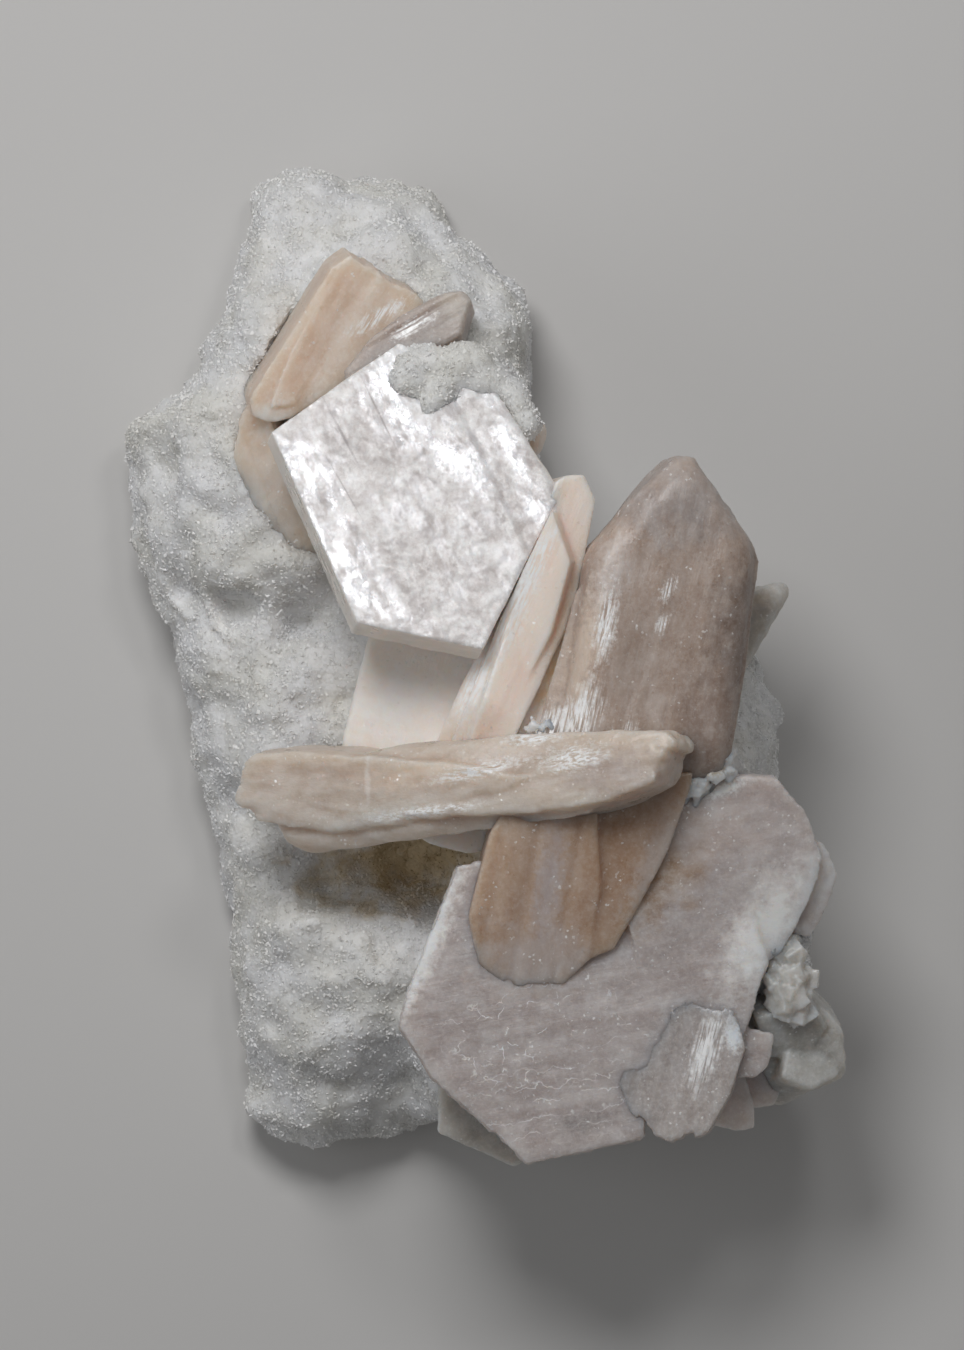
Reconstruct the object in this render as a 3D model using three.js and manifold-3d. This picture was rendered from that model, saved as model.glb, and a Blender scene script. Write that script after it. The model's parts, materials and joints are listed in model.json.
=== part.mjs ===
// A stilbite cluster: a loose piece of white, sugary matrix that carries sheaves and plates of peach zeolite crystals.
// Units are millimetres. The piece lies on its flat back: X runs to the right, Y to its top end, Z out of the crystal side.
// Every outline below is the shape of a crystal as seen from straight in front, and its face then leans in depth.

import * as THREE from "three";
import { ConvexGeometry } from "three/addons/geometries/ConvexGeometry.js";
import { ImprovedNoise } from "three/addons/math/ImprovedNoise.js";
import { mergeVertices } from "three/addons/utils/BufferGeometryUtils.js";
import Module from "manifold-3d";

const wasm = await Module();
wasm.setup();

// Driving dimensions
const GAP = 0.3; // clearance where one piece is seated in another
const SIDE_SLOPE = 0.8; // depth of a blade's sloping edge faces, as a share of their width
const WELD = 1e-3; // vertices nearer than this are one
const MATRIX_CENTRE = new THREE.Vector2(-3.4, -1.4); // the matrix narrows towards this point at its back
const MATRIX_CELLS = [34, 49, 3]; // facets of the matrix across, along and through
const WAIST = 0.42; // the matrix is widest at this share of its local height
const BACK_INSET = 0.93; // the flat back is this much smaller than the widest outline
const BACK_CUT = 1; // mm sawn off the back to make it flat
const EDGE_ROUNDING = 9; // higher makes the matrix's shoulder squarer
const LUMP_SIZES = [5.6, 2.7]; // mm across of the coarse and the fine lumps
const LUMP_HEIGHTS = [1.6, 1.1]; // mm of relief of each
const RIM_LUMPS = [1.3, 0.9]; // mm that the same lumps move the outline

const COLOURS = {
  matrix: { color: 0xd9d9d6, roughness: 0.75, metalness: 0 },
  peach: { color: 0xdcb8a0, roughness: 0.35, metalness: 0 },
  pearl: { color: 0xe6e0e0, roughness: 0.2, metalness: 0 },
  rose: { color: 0xc9b8b4, roughness: 0.35, metalness: 0 },
  pale: { color: 0xc8c8c0, roughness: 0.4, metalness: 0 },
};

// Crystals
// A slab is one flat crystal blade. outline is counted from the part's centre; face is a point's height on its front face,
// at the middle of the outline; up and right are how many degrees the face climbs towards the viewer that way.
// bevel is the width of the sloping faces round its front and back.

const SLABS = {
  // The upper sheaf is shaped like a bow tie: a fan over its waist, and a second fan that dives into the matrix below it.
  upper_sheaf: {
    finish: "peach",
    slabs: [
      {
        outline: [[-11.8, 34.6], [-5.8, 30.7], [-8.3, 26.5], [-13, 23.9], [-17, 21.2], [-18.4, 20.7], [-19.9, 21.4],
          [-20.1, 22.6], [-19.4, 24.3], [-16.3, 29.4], [-13.7, 33.3]],
        face: 22, up: 8, right: -6, thick: 6.5, bevel: 0.8,
      },
      {
        outline: [[-12.3, 24.8], [-11.7, 23.9], [-8.7, 25.2], [-2.4, 28.1], [-1.8, 30.8], [-2.4, 31.6], [-3.5, 31.5],
          [-6, 30.6], [-10.1, 27.5]],
        face: 24.6, up: -12, right: 4, thick: 5, bevel: 1.1,
      },
      {
        outline: [[-12.6, 34], [-10.3, 33.4], [-13.8, 27], [-16.6, 22.2], [-18.4, 22], [-16.4, 27.6]],
        face: 22.7, up: 8, right: -14, thick: 5, bevel: 0.9,
      },
      {
        outline: [[-19.9, 22.6], [-17.8, 21.6], [-15.1, 12.7], [-14.2, 8.8], [-17, 9.4], [-20, 13.5], [-21.8, 17.8],
          [-21.2, 20.4]],
        face: 19.6, up: 9, right: 7, thick: 5.5, bevel: 0.9,
      },
    ],
  },

  // The pearly plate faces up a little, so that its lower edge stands well clear of the blade behind.
  pearly_plate: {
    finish: "pearl",
    slabs: [
      {
        outline: [[-18.3, 19.6], [-7.7, 27.1], [0, 23.7], [5.6, 15], [5.6, 14.1], [-0.7, 1.4], [-11.1, 3.6],
          [-11.8, 5]],
        face: 28, up: -13, right: -7, thick: 4.2, bevel: 0.7,
      },
    ],
  },

  // The main sheaf leans up and to the right, and its foot ends in the lower plate. A second sheaf of four rods grew
  // across its front and into it, nearest the viewer at the right end.
  crossed_sheaves: {
    finish: "peach",
    slabs: [
      {
        outline: [[8.4, 8.4], [8.8, 9.6], [10.4, 11.4], [12.8, 14.3], [14.1, 16.2], [16.2, 17.5], [17.6, 17.5],
          [18.4, 16.2], [22.1, 10.5], [22.5, 8.8], [21.4, 1.2], [20.2, -8.2], [13.4, -15.6], [10.6, -19.2],
          [9, -14.1], [6.6, -4]],
        face: 30.8, up: -1, right: -6, thick: 9.5, bevel: 2.2,
      },
      {
        outline: [[7.2, 6.4], [8.8, 8.4], [11.4, 9], [11.6, 0], [10.6, -9.5], [3.2, -9.5], [6, -1.4]],
        face: 30.4, up: -4, right: 9, thick: 8, bevel: 1.2,
      },
      {
        outline: [[12.6, 13], [15.4, 15.6], [16.8, 9], [15.2, -4], [12.4, -13], [9.5, -12], [10.6, 0]],
        face: 31.4, up: -4, right: 2, thick: 6, bevel: 1.3,
      },
      {
        outline: [[19.2, 14.4], [21.9, 10.8], [23, 7.7], [23, 6.5], [21.8, 1.8], [20.5, -7.3], [16.4, -12.6],
          [17.4, 2]],
        face: 28.6, up: -4, right: -24, thick: 8, bevel: 1.1,
      },
      {
        outline: [[0.1, -14.7], [3, -8.6], [8.5, -8.2], [9.9, -20.5], [7.4, -25.6], [4.8, -27.1], [0.6, -26.9],
          [-0.5, -23.6], [-1.5, -21.6]],
        face: 29.6, up: 13, right: 6, thick: 8.5, bevel: 1.2,
      },
      {
        outline: [[6, -8.2], [14.4, -9.9], [12.8, -15], [10.5, -19.6], [9.2, -23.5], [7.7, -25.2], [5.6, -25.2]],
        face: 29.2, up: 11, right: -13, thick: 8, bevel: 1.2,
      },
      {
        outline: [[-13.4, -7.8], [-7.7, -7], [1.4, -6.2], [14, -5.8], [14.7, -6.5], [14, -9.7], [9.8, -11.5],
          [6, -12.4], [-4.2, -12.6], [-13.6, -12.2]],
        face: 31.5, up: -6, right: 21, thick: 6, bevel: 1.4,
      },
      {
        outline: [[-20.8, -11.5], [-20.1, -9.9], [-18.6, -8.5], [-16.5, -8.1], [-4, -8.6], [3, -9.6], [-4.2, -13],
          [-13.6, -14.3], [-19.7, -13.3]],
        face: 26.4, up: 8, right: 21, thick: 5, bevel: 1.5,
      },
      {
        outline: [[-18.6, -13], [-9.4, -11.4], [1.5, -11.2], [7, -12.7], [1.5, -13], [-4.2, -13.2], [-8, -14.4],
          [-10.4, -15.4], [-15.1, -16.3], [-17.3, -15.4]],
        face: 27, up: 19, right: 21, thick: 4.5, bevel: 1,
      },
      {
        outline: [[-12.3, -7.1], [-4.2, -6.8], [1.4, -6], [4, -7.6], [-2, -9.2], [-12.3, -9]],
        face: 29.4, up: -22, right: 21, thick: 4, bevel: 0.7,
      },
    ],
  },

  // Three slim blades stand side by side along the pearly plate's right edge. They grew from a broad plate that lies
  // flat on the matrix in their shade, and one more blade fills the notch between them and the main sheaf.
  middle_blades: {
    finish: "peach",
    slabs: [
      {
        outline: [[5.7, 15.3], [6.5, 15.8], [7.9, 15.9], [8.8, 13.9], [7.6, 7.6], [6.5, 3.1], [1.3, -7.3],
          [-1.6, -7.3], [2.4, 2.7], [5, 10.6]],
        face: 27.6, up: -3, right: -14, thick: 7, bevel: 1,
      },
      {
        outline: [[4.1, 10.3], [6.4, 7.6], [5, 2.6], [-0.4, -7.6], [-3.4, -7.4], [0.9, 3.6]],
        face: 28.6, up: 2, right: 10, thick: 6, bevel: 0.8,
      },
      {
        outline: [[1.2, 4.6], [2.2, 3], [-2, -7.6], [-4.9, -7.4], [-2.4, -1.8]],
        face: 26.4, up: 0, right: 24, thick: 5, bevel: 0.5,
      },
      {
        outline: [[-9.2, 6.4], [2, 6.4], [1.6, -4], [-1.7, -9.8], [-12.3, -9.8], [-12.5, -6.6]],
        face: 21.4, up: 2, right: 8, thick: 4, bevel: 0.6,
      },
      {
        outline: [[-5.4, -11.2], [3, -10.6], [1.8, -14.6], [-1.7, -16], [-5.1, -15.2], [-7.6, -13.6]],
        face: 21.4, up: 2, right: 8, thick: 4.5, bevel: 0.6,
      },
      {
        outline: [[-11, -6], [1, -6], [1, -13], [-5.4, -13.5], [-9, -12]],
        face: 20.9, up: 2, right: 8, thick: 4, bevel: 0.4,
      },
      {
        outline: [[6, 6.3], [9.4, 6.4], [9.6, -3.1], [6, -9], [-0.4, -9], [3, -1.4]],
        face: 23.6, up: -5, right: 8, thick: 5, bevel: 0.6,
      },
    ],
  },

  // The lower plate is a stack: a broad six-sided crystal, a rounder one at its right, and a small one grown over both.
  lower_plate: {
    finish: "rose",
    slabs: [
      {
        outline: [[-2.6, -17.3], [-0.3, -16.9], [12.8, -15.8], [20.6, -17.4], [23.4, -25.2], [21, -32.6],
          [12.8, -37.4], [0.2, -39.4], [-4.8, -34.9], [-7.5, -30.6], [-6.6, -27.4]],
        face: 26.6, up: -2, right: -2, thick: 3.8, bevel: 0.9,
      },
      {
        outline: [[0, -30], [13.6, -29], [12.9, -40], [3.2, -42.2], [0.8, -39.7]],
        face: 25.7, up: -2, right: -2, thick: 2.4, bevel: 0.35,
      },
      {
        outline: [[12.8, -16], [17, -11.7], [21.3, -9.7], [24.3, -9.9], [26.9, -13.2], [28, -16.5], [27, -20],
          [24.6, -24.4], [18, -27], [12.8, -25.2]],
        face: 25.8, up: 5, right: -8, thick: 3.4, bevel: 0.8,
      },
      {
        outline: [[25.6, -13.6], [28.2, -15.4], [29.4, -17.9], [28.6, -20.5], [27, -23], [24.4, -22.4], [24.2, -17]],
        face: 23.6, up: 4, right: -12, thick: 3, bevel: 0.7,
      },
      {
        outline: [[11.1, -35.4], [12.2, -37.8], [14.2, -39.5], [15.4, -40], [18.4, -39.4], [19, -37.7],
          [20.9, -35], [21.5, -32.5], [20.8, -29.8], [17, -28.6], [12.4, -31.1]],
        face: 27.6, up: -5, right: 5, thick: 3.2, bevel: 0.6,
      },
      {
        outline: [[20, -30.6], [23.9, -31.5], [23.5, -34], [22.5, -34.8], [19.8, -34.9]],
        face: 25.4, up: 0, right: -8, thick: 3.4, bevel: 0.5,
      },
    ],
  },

  under_plate: {
    finish: "pale",
    slabs: [
      {
        outline: [[-4.2, -33.8], [-4.3, -39.8], [-1.3, -41.1], [2, -42.6], [3.2, -41.9], [4.6, -36.2], [2, -33]],
        face: 20.8, up: 6, right: 5, thick: 3.4, bevel: 0.5,
      },
    ],
  },

  // Small blades bristle from the bottom right corner.
  corner_blades: {
    finish: "rose",
    slabs: [
      {
        outline: [[18.6, -34], [21.4, -34.4], [22.4, -37.5], [22.4, -39.4], [21.2, -39.6], [18.8, -39]],
        face: 21.9, up: 10, right: -18, thick: 3.2, bevel: 0.5,
      },
      {
        outline: [[20.4, -32.5], [24.5, -35.4], [24.5, -36.6], [24.1, -37.5], [22.3, -37.7], [20.8, -37.1]],
        face: 20.4, up: 14, right: -6, thick: 3.2, bevel: 0.5,
      },
    ],
  },

  corner_wedge: {
    finish: "pale",
    slabs: [
      {
        outline: [[22.6, -30], [27.4, -28.6], [28.8, -30.7], [29.8, -31], [29.7, -32.4], [30.2, -34.3],
          [29.9, -35.2], [27.4, -36.3], [24.3, -36.3], [23.4, -34.8]],
        face: 21.4, up: 16, right: -8, thick: 7, bevel: 1.2,
      },
    ],
  },

  right_spur: {
    finish: "pale",
    slabs: [
      {
        outline: [[18.6, 0.6], [19.6, 5.4], [23.1, 6.1], [24.2, 6.5], [24.8, 6], [24.7, 5.4], [23.5, 3.7],
          [22.1, 1.6], [21, -1]],
        face: 19.2, up: 8, right: 12, thick: 3, bevel: 0.6,
      },
    ],
  },

  edge_spur: {
    finish: "peach",
    slabs: [
      {
        outline: [[1.4, 20.6], [3.4, 20.3], [4.1, 20], [4.3, 19.6], [3.9, 18], [1.6, 16.6]],
        face: 20.2, up: 6, right: 8, thick: 3.4, bevel: 0.4,
      },
    ],
  },
};

const anticlockwise = (outline) =>
  THREE.ShapeUtils.area(outline.map(([x, y]) => new THREE.Vector2(x, y))) < 0 ? [...outline].reverse() : outline;

// Every side of an anticlockwise outline is moved inwards by the width, which a sharp corner follows at most thrice over.
function insetOutline(outline, width) {
  const corners = outline.map(([x, y]) => new THREE.Vector2(x, y));
  const inward = corners.map((corner, i) => {
    const along = corners[(i + 1) % corners.length].clone().sub(corner).normalize();
    return new THREE.Vector2(-along.y, along.x);
  });
  return corners.map((corner, i) => {
    const between = inward.at(i - 1).clone().add(inward[i]).normalize();
    const share = Math.max(between.dot(inward[i]), 1 / 3);
    return corner.clone().addScaledVector(between, width / share).toArray();
  });
}

// The corners of a slab in the part's frame: two rings at its sides, and a smaller one on its front and on its back.
// A ring is drawn as seen from the front and lifted onto its leaning plane, so the leaning moves it in depth alone.
// A room's rings are the slab's, grown by the gap.
function slabCorners({ outline, face, up, right, thick, bevel }, grown = 0) {
  const rise = new THREE.Vector2(Math.tan(THREE.MathUtils.degToRad(right)), Math.tan(THREE.MathUtils.degToRad(up)));
  const normal = new THREE.Vector3(-rise.x, -rise.y, 1).normalize();
  const sides = anticlockwise(outline);
  const middle = new THREE.Vector2();
  for (const [x, y] of sides) middle.add(new THREE.Vector2(x, y).divideScalar(sides.length));
  const ring = (inset, depth) =>
    insetOutline(sides, inset - grown).map(([x, y]) =>
      new THREE.Vector3(x, y, face + rise.x * (x - middle.x) + rise.y * (y - middle.y)).addScaledVector(normal, -depth),
    );
  return [
    ...ring(bevel, -grown),
    ...ring(0, bevel * SIDE_SLOPE - grown),
    ...ring(0, thick - bevel * SIDE_SLOPE + grown),
    ...ring(bevel, thick + grown),
  ];
}

function solidFrom(geometry) {
  const bare = geometry.index ? geometry.toNonIndexed() : geometry.clone();
  const merged = mergeVertices(new THREE.BufferGeometry().setAttribute("position", bare.getAttribute("position")), WELD);
  return new wasm.Manifold(
    new wasm.Mesh({
      numProp: 3,
      vertProperties: merged.attributes.position.array,
      triVerts: new Uint32Array(merged.index.array),
    }),
  );
}

const hullOf = (corners) => solidFrom(new ConvexGeometry(corners));

const joined = (solids) => solids.reduce((whole, next) => whole.add(next));

const largestOf = (solid) => solid.decompose().sort((a, b) => b.volume() - a.volume())[0];

// Matrix

// Its four edges, seen from the front. The long ones run from the bottom up, the short ones from left to right.
const LEFT_EDGE = [
  [-21, -38.9], [-20.4, -33.7], [-22.3, -24.3], [-22.4, -18.4], [-24.1, -11.6], [-25.8, -3.9], [-28.2, 5.4],
  [-30.1, 14.8], [-29.8, 19.9], [-24.7, 25], [-22.3, 30.9], [-20.7, 36], [-19.4, 41.1],
];
const RIGHT_EDGE = [
  [26, -32.5], [27.2, -28.6], [26.6, -23.5], [25.5, -16.7], [23.8, -9], [24.7, -3.7], [21.7, 2.5], [17.9, 6.4],
  [7.2, 9.4], [4.9, 12.7], [3.7, 19], [3.1, 24.1], [3.5, 30.7], [0.6, 33.5], [-3.7, 37.3], [-5.1, 41],
];
const BOTTOM_EDGE = [[-21, -38.9], [-17, -40.9], [-12.8, -40.3], [-4.2, -40.5], [0.9, -38.1], [11.1, -36.4],
  [21.2, -35.4], [26, -32.5]];
const TOP_EDGE = [[-19.4, 41.1], [-14.5, 42.4], [-9.8, 41.8], [-5.1, 41]];

// Heights of its front surface, as [x, y, height], region by region.
const MATRIX_LEVELS = [
  // top end, and the ground round the upper sheaf
  [-12.8, 38.2, 13], [-5.5, 38.2, 11], [0.9, 31.8, 12], [-18.7, 35.2, 12.5], [-8.5, 35.2, 15.5], [-18.5, 28, 17],
  [-11, 28.5, 18.5], [-22.5, 23, 16], [0, 28.5, 19],
  // a crust that grew over the pearly plate's top right corner
  [-5.6, 25, 26.6], [-3.4, 22.6, 28.8], [-0.8, 21, 28.2], [1.4, 22.6, 26], [-4.5, 16.5, 22], [2.8, 26, 17],
  // left shoulder, down to the ledge
  [-28, 17, 13], [-24.7, 15.6, 16.5], [-19.6, 15.6, 18.2], [-15.6, 11.5, 18.7], [-22.1, 9, 17], [-16.2, 8.2, 18.6],
  [-27, 9, 14],
  // the foot of the ledge, and the field below it
  [-22.1, 5, 12.5], [-16.2, 5.2, 13.6], [-12.3, 5.4, 15], [-22.1, -2.2, 14], [-16.2, -3, 16], [-13.6, 1.2, 16.4],
  [-18.7, -9, 15.4], [-22, -11.6, 11.5],
  // the pocket in the shade of the crossing sheaf
  [-12.8, -17.5, 9], [-6, -17.5, 8.5], [-16.2, -16.7, 11], [-19.6, -18.4, 12.5],
  // bottom left lump, and the bottom edge
  [-16.2, -23.5, 15.5], [-11, -25.2, 16.6], [-7.4, -22.8, 14], [-12.8, -31.1, 15], [-19.6, -25.2, 12.5],
  [-12.8, -36.2, 11.4], [-7.7, -37.6, 8.5], [-20, -37.1, 9],
  // the ground under the crystals
  [-6, 9, 22], [-5.1, -3.1, 18.6], [6, 3, 19], [3, 11, 22], [9.4, -4.8, 23], [14, 1, 19], [17.9, -3.1, 21],
  [23, -3.1, 15], [0, -10, 18], [4, -16, 22], [9.4, -24, 24], [0.9, -28.6, 23], [17.9, -24, 24], [-1.5, -35.4, 18],
  [6, -33.4, 23], [16.2, -32.5, 22.6], [22, -33.5, 20],
  // white lumps that come through at the right
  [21.6, -22.8, 26], [24.4, -26.4, 23.5], [19.6, -9.2, 24.6], [23.6, -14, 21.5], [26, -21, 19],
];

const noise = new ImprovedNoise();
const lumps = (x, y, z, sizes, heights) =>
  sizes.reduce((sum, size, i) => sum + heights[i] * noise.noise(x / size + 11.3 * i, y / size + 4.7, z / size), 0);

// Each level counts by how near it is, so the surface passes through every one of them.
function matrixHeight(x, y) {
  let total = 0;
  let weights = 0;
  for (const [levelX, levelY, height] of MATRIX_LEVELS) {
    const weight = 1 / (Math.hypot(x - levelX, y - levelY) ** 3.4 + 0.4);
    total += height * weight;
    weights += weight;
  }
  return total / weights;
}

// The second number of a list of pairs, at a place between their first numbers.
function along(pairs, place) {
  const next = pairs.findIndex(([from]) => from >= place);
  if (next <= 0) return next === 0 ? pairs[0][1] : pairs.at(-1)[1];
  const [[from, before], [to, after]] = [pairs[next - 1], pairs[next]];
  return THREE.MathUtils.mapLinear(place, from, to, before, after);
}

const byHeight = (edge) => edge.map(([x, y]) => [y, x]);

// A place on the matrix, seen from the front: u and v run from 0 to 1, to the right and upwards between its edges.
function placeOnMatrix(u, v) {
  const bottom = along(BOTTOM_EDGE, THREE.MathUtils.lerp(BOTTOM_EDGE[0][0], BOTTOM_EDGE.at(-1)[0], u));
  const top = along(TOP_EDGE, THREE.MathUtils.lerp(TOP_EDGE[0][0], TOP_EDGE.at(-1)[0], u));
  const y = THREE.MathUtils.lerp(bottom, top, v);
  const x = THREE.MathUtils.lerp(along(byHeight(LEFT_EDGE), y), along(byHeight(RIGHT_EDGE), y), u);
  return new THREE.Vector2(x, y);
}

// A box of facets is pressed between the edges and raised to the levels, with rounded shoulders. It starts below the
// back, which is then cut flat.
function matrixSolid() {
  const geometry = new THREE.BoxGeometry(2, 2, 1, ...MATRIX_CELLS);
  const position = geometry.getAttribute("position");
  for (let i = 0; i < position.count; i++) {
    const [u, v, level] = [position.getX(i), position.getY(i), position.getZ(i) + 0.5];
    const share = Math.max(Math.abs(u), Math.abs(v));
    const place = placeOnMatrix((u + 1) / 2, (v + 1) / 2);
    const outwards = place.clone().sub(MATRIX_CENTRE);
    const wobble = share ** 4 * lumps(place.x, place.y, level * 9, LUMP_SIZES, RIM_LUMPS);
    const rim = THREE.MathUtils.lerp(BACK_INSET, 1, Math.sqrt(level)) + wobble / Math.max(outwards.length(), 1);
    const { x, y } = outwards.multiplyScalar(rim).add(MATRIX_CENTRE);
    const shoulder = THREE.MathUtils.lerp(WAIST, 1, (1 - share ** EDGE_ROUNDING) ** 0.6);
    const surface = matrixHeight(x, y) * shoulder + lumps(x, y, 0, LUMP_SIZES, LUMP_HEIGHTS) * (1 - 0.6 * share ** 6);
    position.setXYZ(i, x, y, THREE.MathUtils.lerp(-BACK_CUT, surface, level));
  }
  const waste = new THREE.BoxGeometry(200, 200, 10 * BACK_CUT).translate(0, 0, -5 * BACK_CUT);
  return solidFrom(geometry).subtract(solidFrom(waste));
}

// Assembly

const pieces = [];
const rooms = [];
for (const [name, { finish, slabs }] of Object.entries(SLABS)) {
  let solid = joined(slabs.map((slab) => hullOf(slabCorners(slab))));
  for (const room of rooms) solid = solid.subtract(room);
  pieces.push({ name, finish, solid: largestOf(solid) });
  rooms.push(joined(slabs.map((slab) => hullOf(slabCorners(slab, GAP)))));
}
const rock = rooms.reduce((left, room) => left.subtract(room), matrixSolid());
pieces.unshift({ name: "matrix", finish: "matrix", solid: largestOf(rock) });

function meshOf({ name, finish, solid }) {
  const { vertProperties, triVerts } = solid.getMesh();
  const geometry = new THREE.BufferGeometry();
  geometry.setAttribute("position", new THREE.BufferAttribute(new Float32Array(vertProperties), 3));
  geometry.setIndex(new THREE.BufferAttribute(new Uint32Array(triVerts), 1));
  const mesh = new THREE.Mesh(geometry, new THREE.MeshStandardMaterial(COLOURS[finish]));
  mesh.name = name;
  return mesh;
}

// The origin is the middle of the whole piece's footprint, on the surface that it lies on.
const cluster = new THREE.Group();
cluster.add(...pieces.map(meshOf));
const extent = new THREE.Box3().setFromObject(cluster);
const middle = extent.getCenter(new THREE.Vector3());
cluster.position.set(-middle.x, -middle.y, -extent.min.z);

export default cluster;
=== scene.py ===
# Stilbite cluster: a loose lump of white sugary matrix with peach sheaves and flat plates of zeolite grown on it.
# It lies on its flat back, and the camera looks straight down on the crystal side.

import json
import math
import random

import bpy
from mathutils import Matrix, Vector
from mathutils.geometry import convex_hull_2d

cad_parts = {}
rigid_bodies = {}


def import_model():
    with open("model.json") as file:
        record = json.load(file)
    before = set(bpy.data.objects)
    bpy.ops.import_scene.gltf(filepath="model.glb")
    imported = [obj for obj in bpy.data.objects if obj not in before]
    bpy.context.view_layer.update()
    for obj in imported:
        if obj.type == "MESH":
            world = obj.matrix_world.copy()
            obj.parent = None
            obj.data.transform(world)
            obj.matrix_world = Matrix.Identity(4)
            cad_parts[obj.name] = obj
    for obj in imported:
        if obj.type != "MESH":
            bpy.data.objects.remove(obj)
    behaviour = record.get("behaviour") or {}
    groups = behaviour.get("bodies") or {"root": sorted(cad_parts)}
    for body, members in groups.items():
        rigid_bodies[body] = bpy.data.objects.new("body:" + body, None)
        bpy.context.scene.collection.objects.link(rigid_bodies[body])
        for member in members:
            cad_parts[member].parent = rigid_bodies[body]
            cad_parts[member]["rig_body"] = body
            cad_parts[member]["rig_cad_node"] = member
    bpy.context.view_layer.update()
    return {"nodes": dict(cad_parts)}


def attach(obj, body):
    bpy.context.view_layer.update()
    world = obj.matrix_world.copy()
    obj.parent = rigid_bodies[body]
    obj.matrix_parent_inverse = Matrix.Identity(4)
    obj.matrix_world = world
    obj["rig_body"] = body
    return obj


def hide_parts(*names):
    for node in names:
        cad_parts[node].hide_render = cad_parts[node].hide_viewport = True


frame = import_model()

# The matrix: one lump of white zeolite rock, rounded into knobs and hollows, with a ledge across its left side and a
# pocket under the crossing sheaf that is painted darker and brownish, a brown tint together with painted shade. It grew
# as one crust, and its back is cut flat.
MM = 0.001
TOUCHING = 0.001 * MM  # corners that are closer than this are one
MATRIX_GRAIN = 0.4 * MM  # the finest lump that the rock's own mesh carries
MATRIX_MIDDLE = 0.42  # the share of the lumps' pattern that is sunk and not raised
MATRIX_LUMPS = [(4.6, 1.9), (2.2, 0.8), (0.9, 0.35)]  # width and height in mm of each size
MATRIX_WHITE = (0.81, 0.81, 0.82, 1)
MATRIX_CREAM = (0.745, 0.735, 0.70, 1)
POCKET_BROWN_AND_SHADE = (0.62, 0.47, 0.25, 1)
POCKET_OVAL = (-6.5, -16.2, 10.5, 5.5, 10)  # of an oval: its middle, half length, half width and angle
GRAIN_WIDTH = 0.42 * MM
SUNKEN_LUMPS = [(-19.6, 11.0, 14.6, 5.6, 2.6), (-18.2, 7.0, 13.0, 6.4, 2.6), (19.8, -9.0, 21.8, 2.2, 2.6),
                (23.6, -22.5, 19.5, 3.4, 4.6), (24.6, -26.4, 18.5, 2.6, 4.4), (-2.6, 23.9, 25.0, 3.0, 1.5),
                (0.4, 22.2, 24.6, 2.6, 1.7), (2.2, 20.4, 24.2, 1.5, 1.6)]  # middle, half width and half height
FOLDS = [(-1.1, 19.2, 4.8, 5.0), (-3.4, 22.2, 3.6, 0.9), (-21.5, 4.6, 3.4, 3.6), (-16.0, 3.2, 3.6, 3.8),
         (-26.2, 6.4, 2.8, 2.8)]  # middle, reach and depth of what is pressed down
HELD_SHARE = 0.1  # the middle part of a fold's reach, which is taken hold of
BACK_KEPT = 8 * MM  # what lies lower than this isn't taken hold of
KEPT_FACES = 0.55  # the share of a crystal's small faces that is kept
SHARP_EDGE = math.radians(32)
ROW_SHIFT = Vector((0.35, 0.085))  # added to every x and y of the lists, which are mm from the photo's middle


def select_only(*pieces):
    if bpy.context.mode != "OBJECT":
        bpy.ops.object.mode_set(mode="OBJECT")
    bpy.ops.object.select_all(action="DESELECT")
    for piece in pieces:
        piece.select_set(True)
    bpy.context.view_layer.objects.active = pieces[0]


def edit_all(piece):
    select_only(piece)
    bpy.ops.object.mode_set(mode="EDIT")
    bpy.ops.mesh.select_all(action="SELECT")


def finish_with(piece, kind, **settings):
    modifier = piece.modifiers.new(kind.title(), kind)
    for setting, value in settings.items():
        setattr(modifier, setting, value)
    select_only(piece)
    bpy.ops.object.modifier_apply(modifier=modifier.name)


def solid_copy(node, name):
    """A solid's mesh, merged, as a piece to be worked on."""
    select_only(frame["nodes"][node])
    bpy.ops.object.duplicate()
    piece = bpy.context.view_layer.objects.active
    piece.name = piece.data.name = name
    piece.parent = None
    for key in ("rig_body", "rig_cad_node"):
        del piece[key]
    piece.data.materials.clear()
    edit_all(piece)
    bpy.ops.mesh.remove_doubles(threshold=TOUCHING)
    bpy.ops.object.mode_set(mode="OBJECT")
    return piece


def raise_relief(piece, lump, height, middle=0.5, run=None, angle=0, group=""):
    """Lumps of a size in mm, or streaks of that width that run on at an angle, are raised out of the surface."""
    pattern = bpy.data.textures.new("relief", "CLOUDS")
    pattern.noise_scale = 1
    guide = bpy.data.objects.new("guide", None)
    bpy.context.scene.collection.objects.link(guide)
    guide.rotation_euler.z = math.radians(angle)
    guide.scale = ((run or lump) * MM, lump * MM, lump * MM)
    bpy.context.view_layer.update()
    finish_with(piece, "DISPLACE", texture=pattern, texture_coords="OBJECT", texture_coords_object=guide,
                strength=height * MM, mid_level=middle, vertex_group=group)
    bpy.data.objects.remove(guide)


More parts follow.
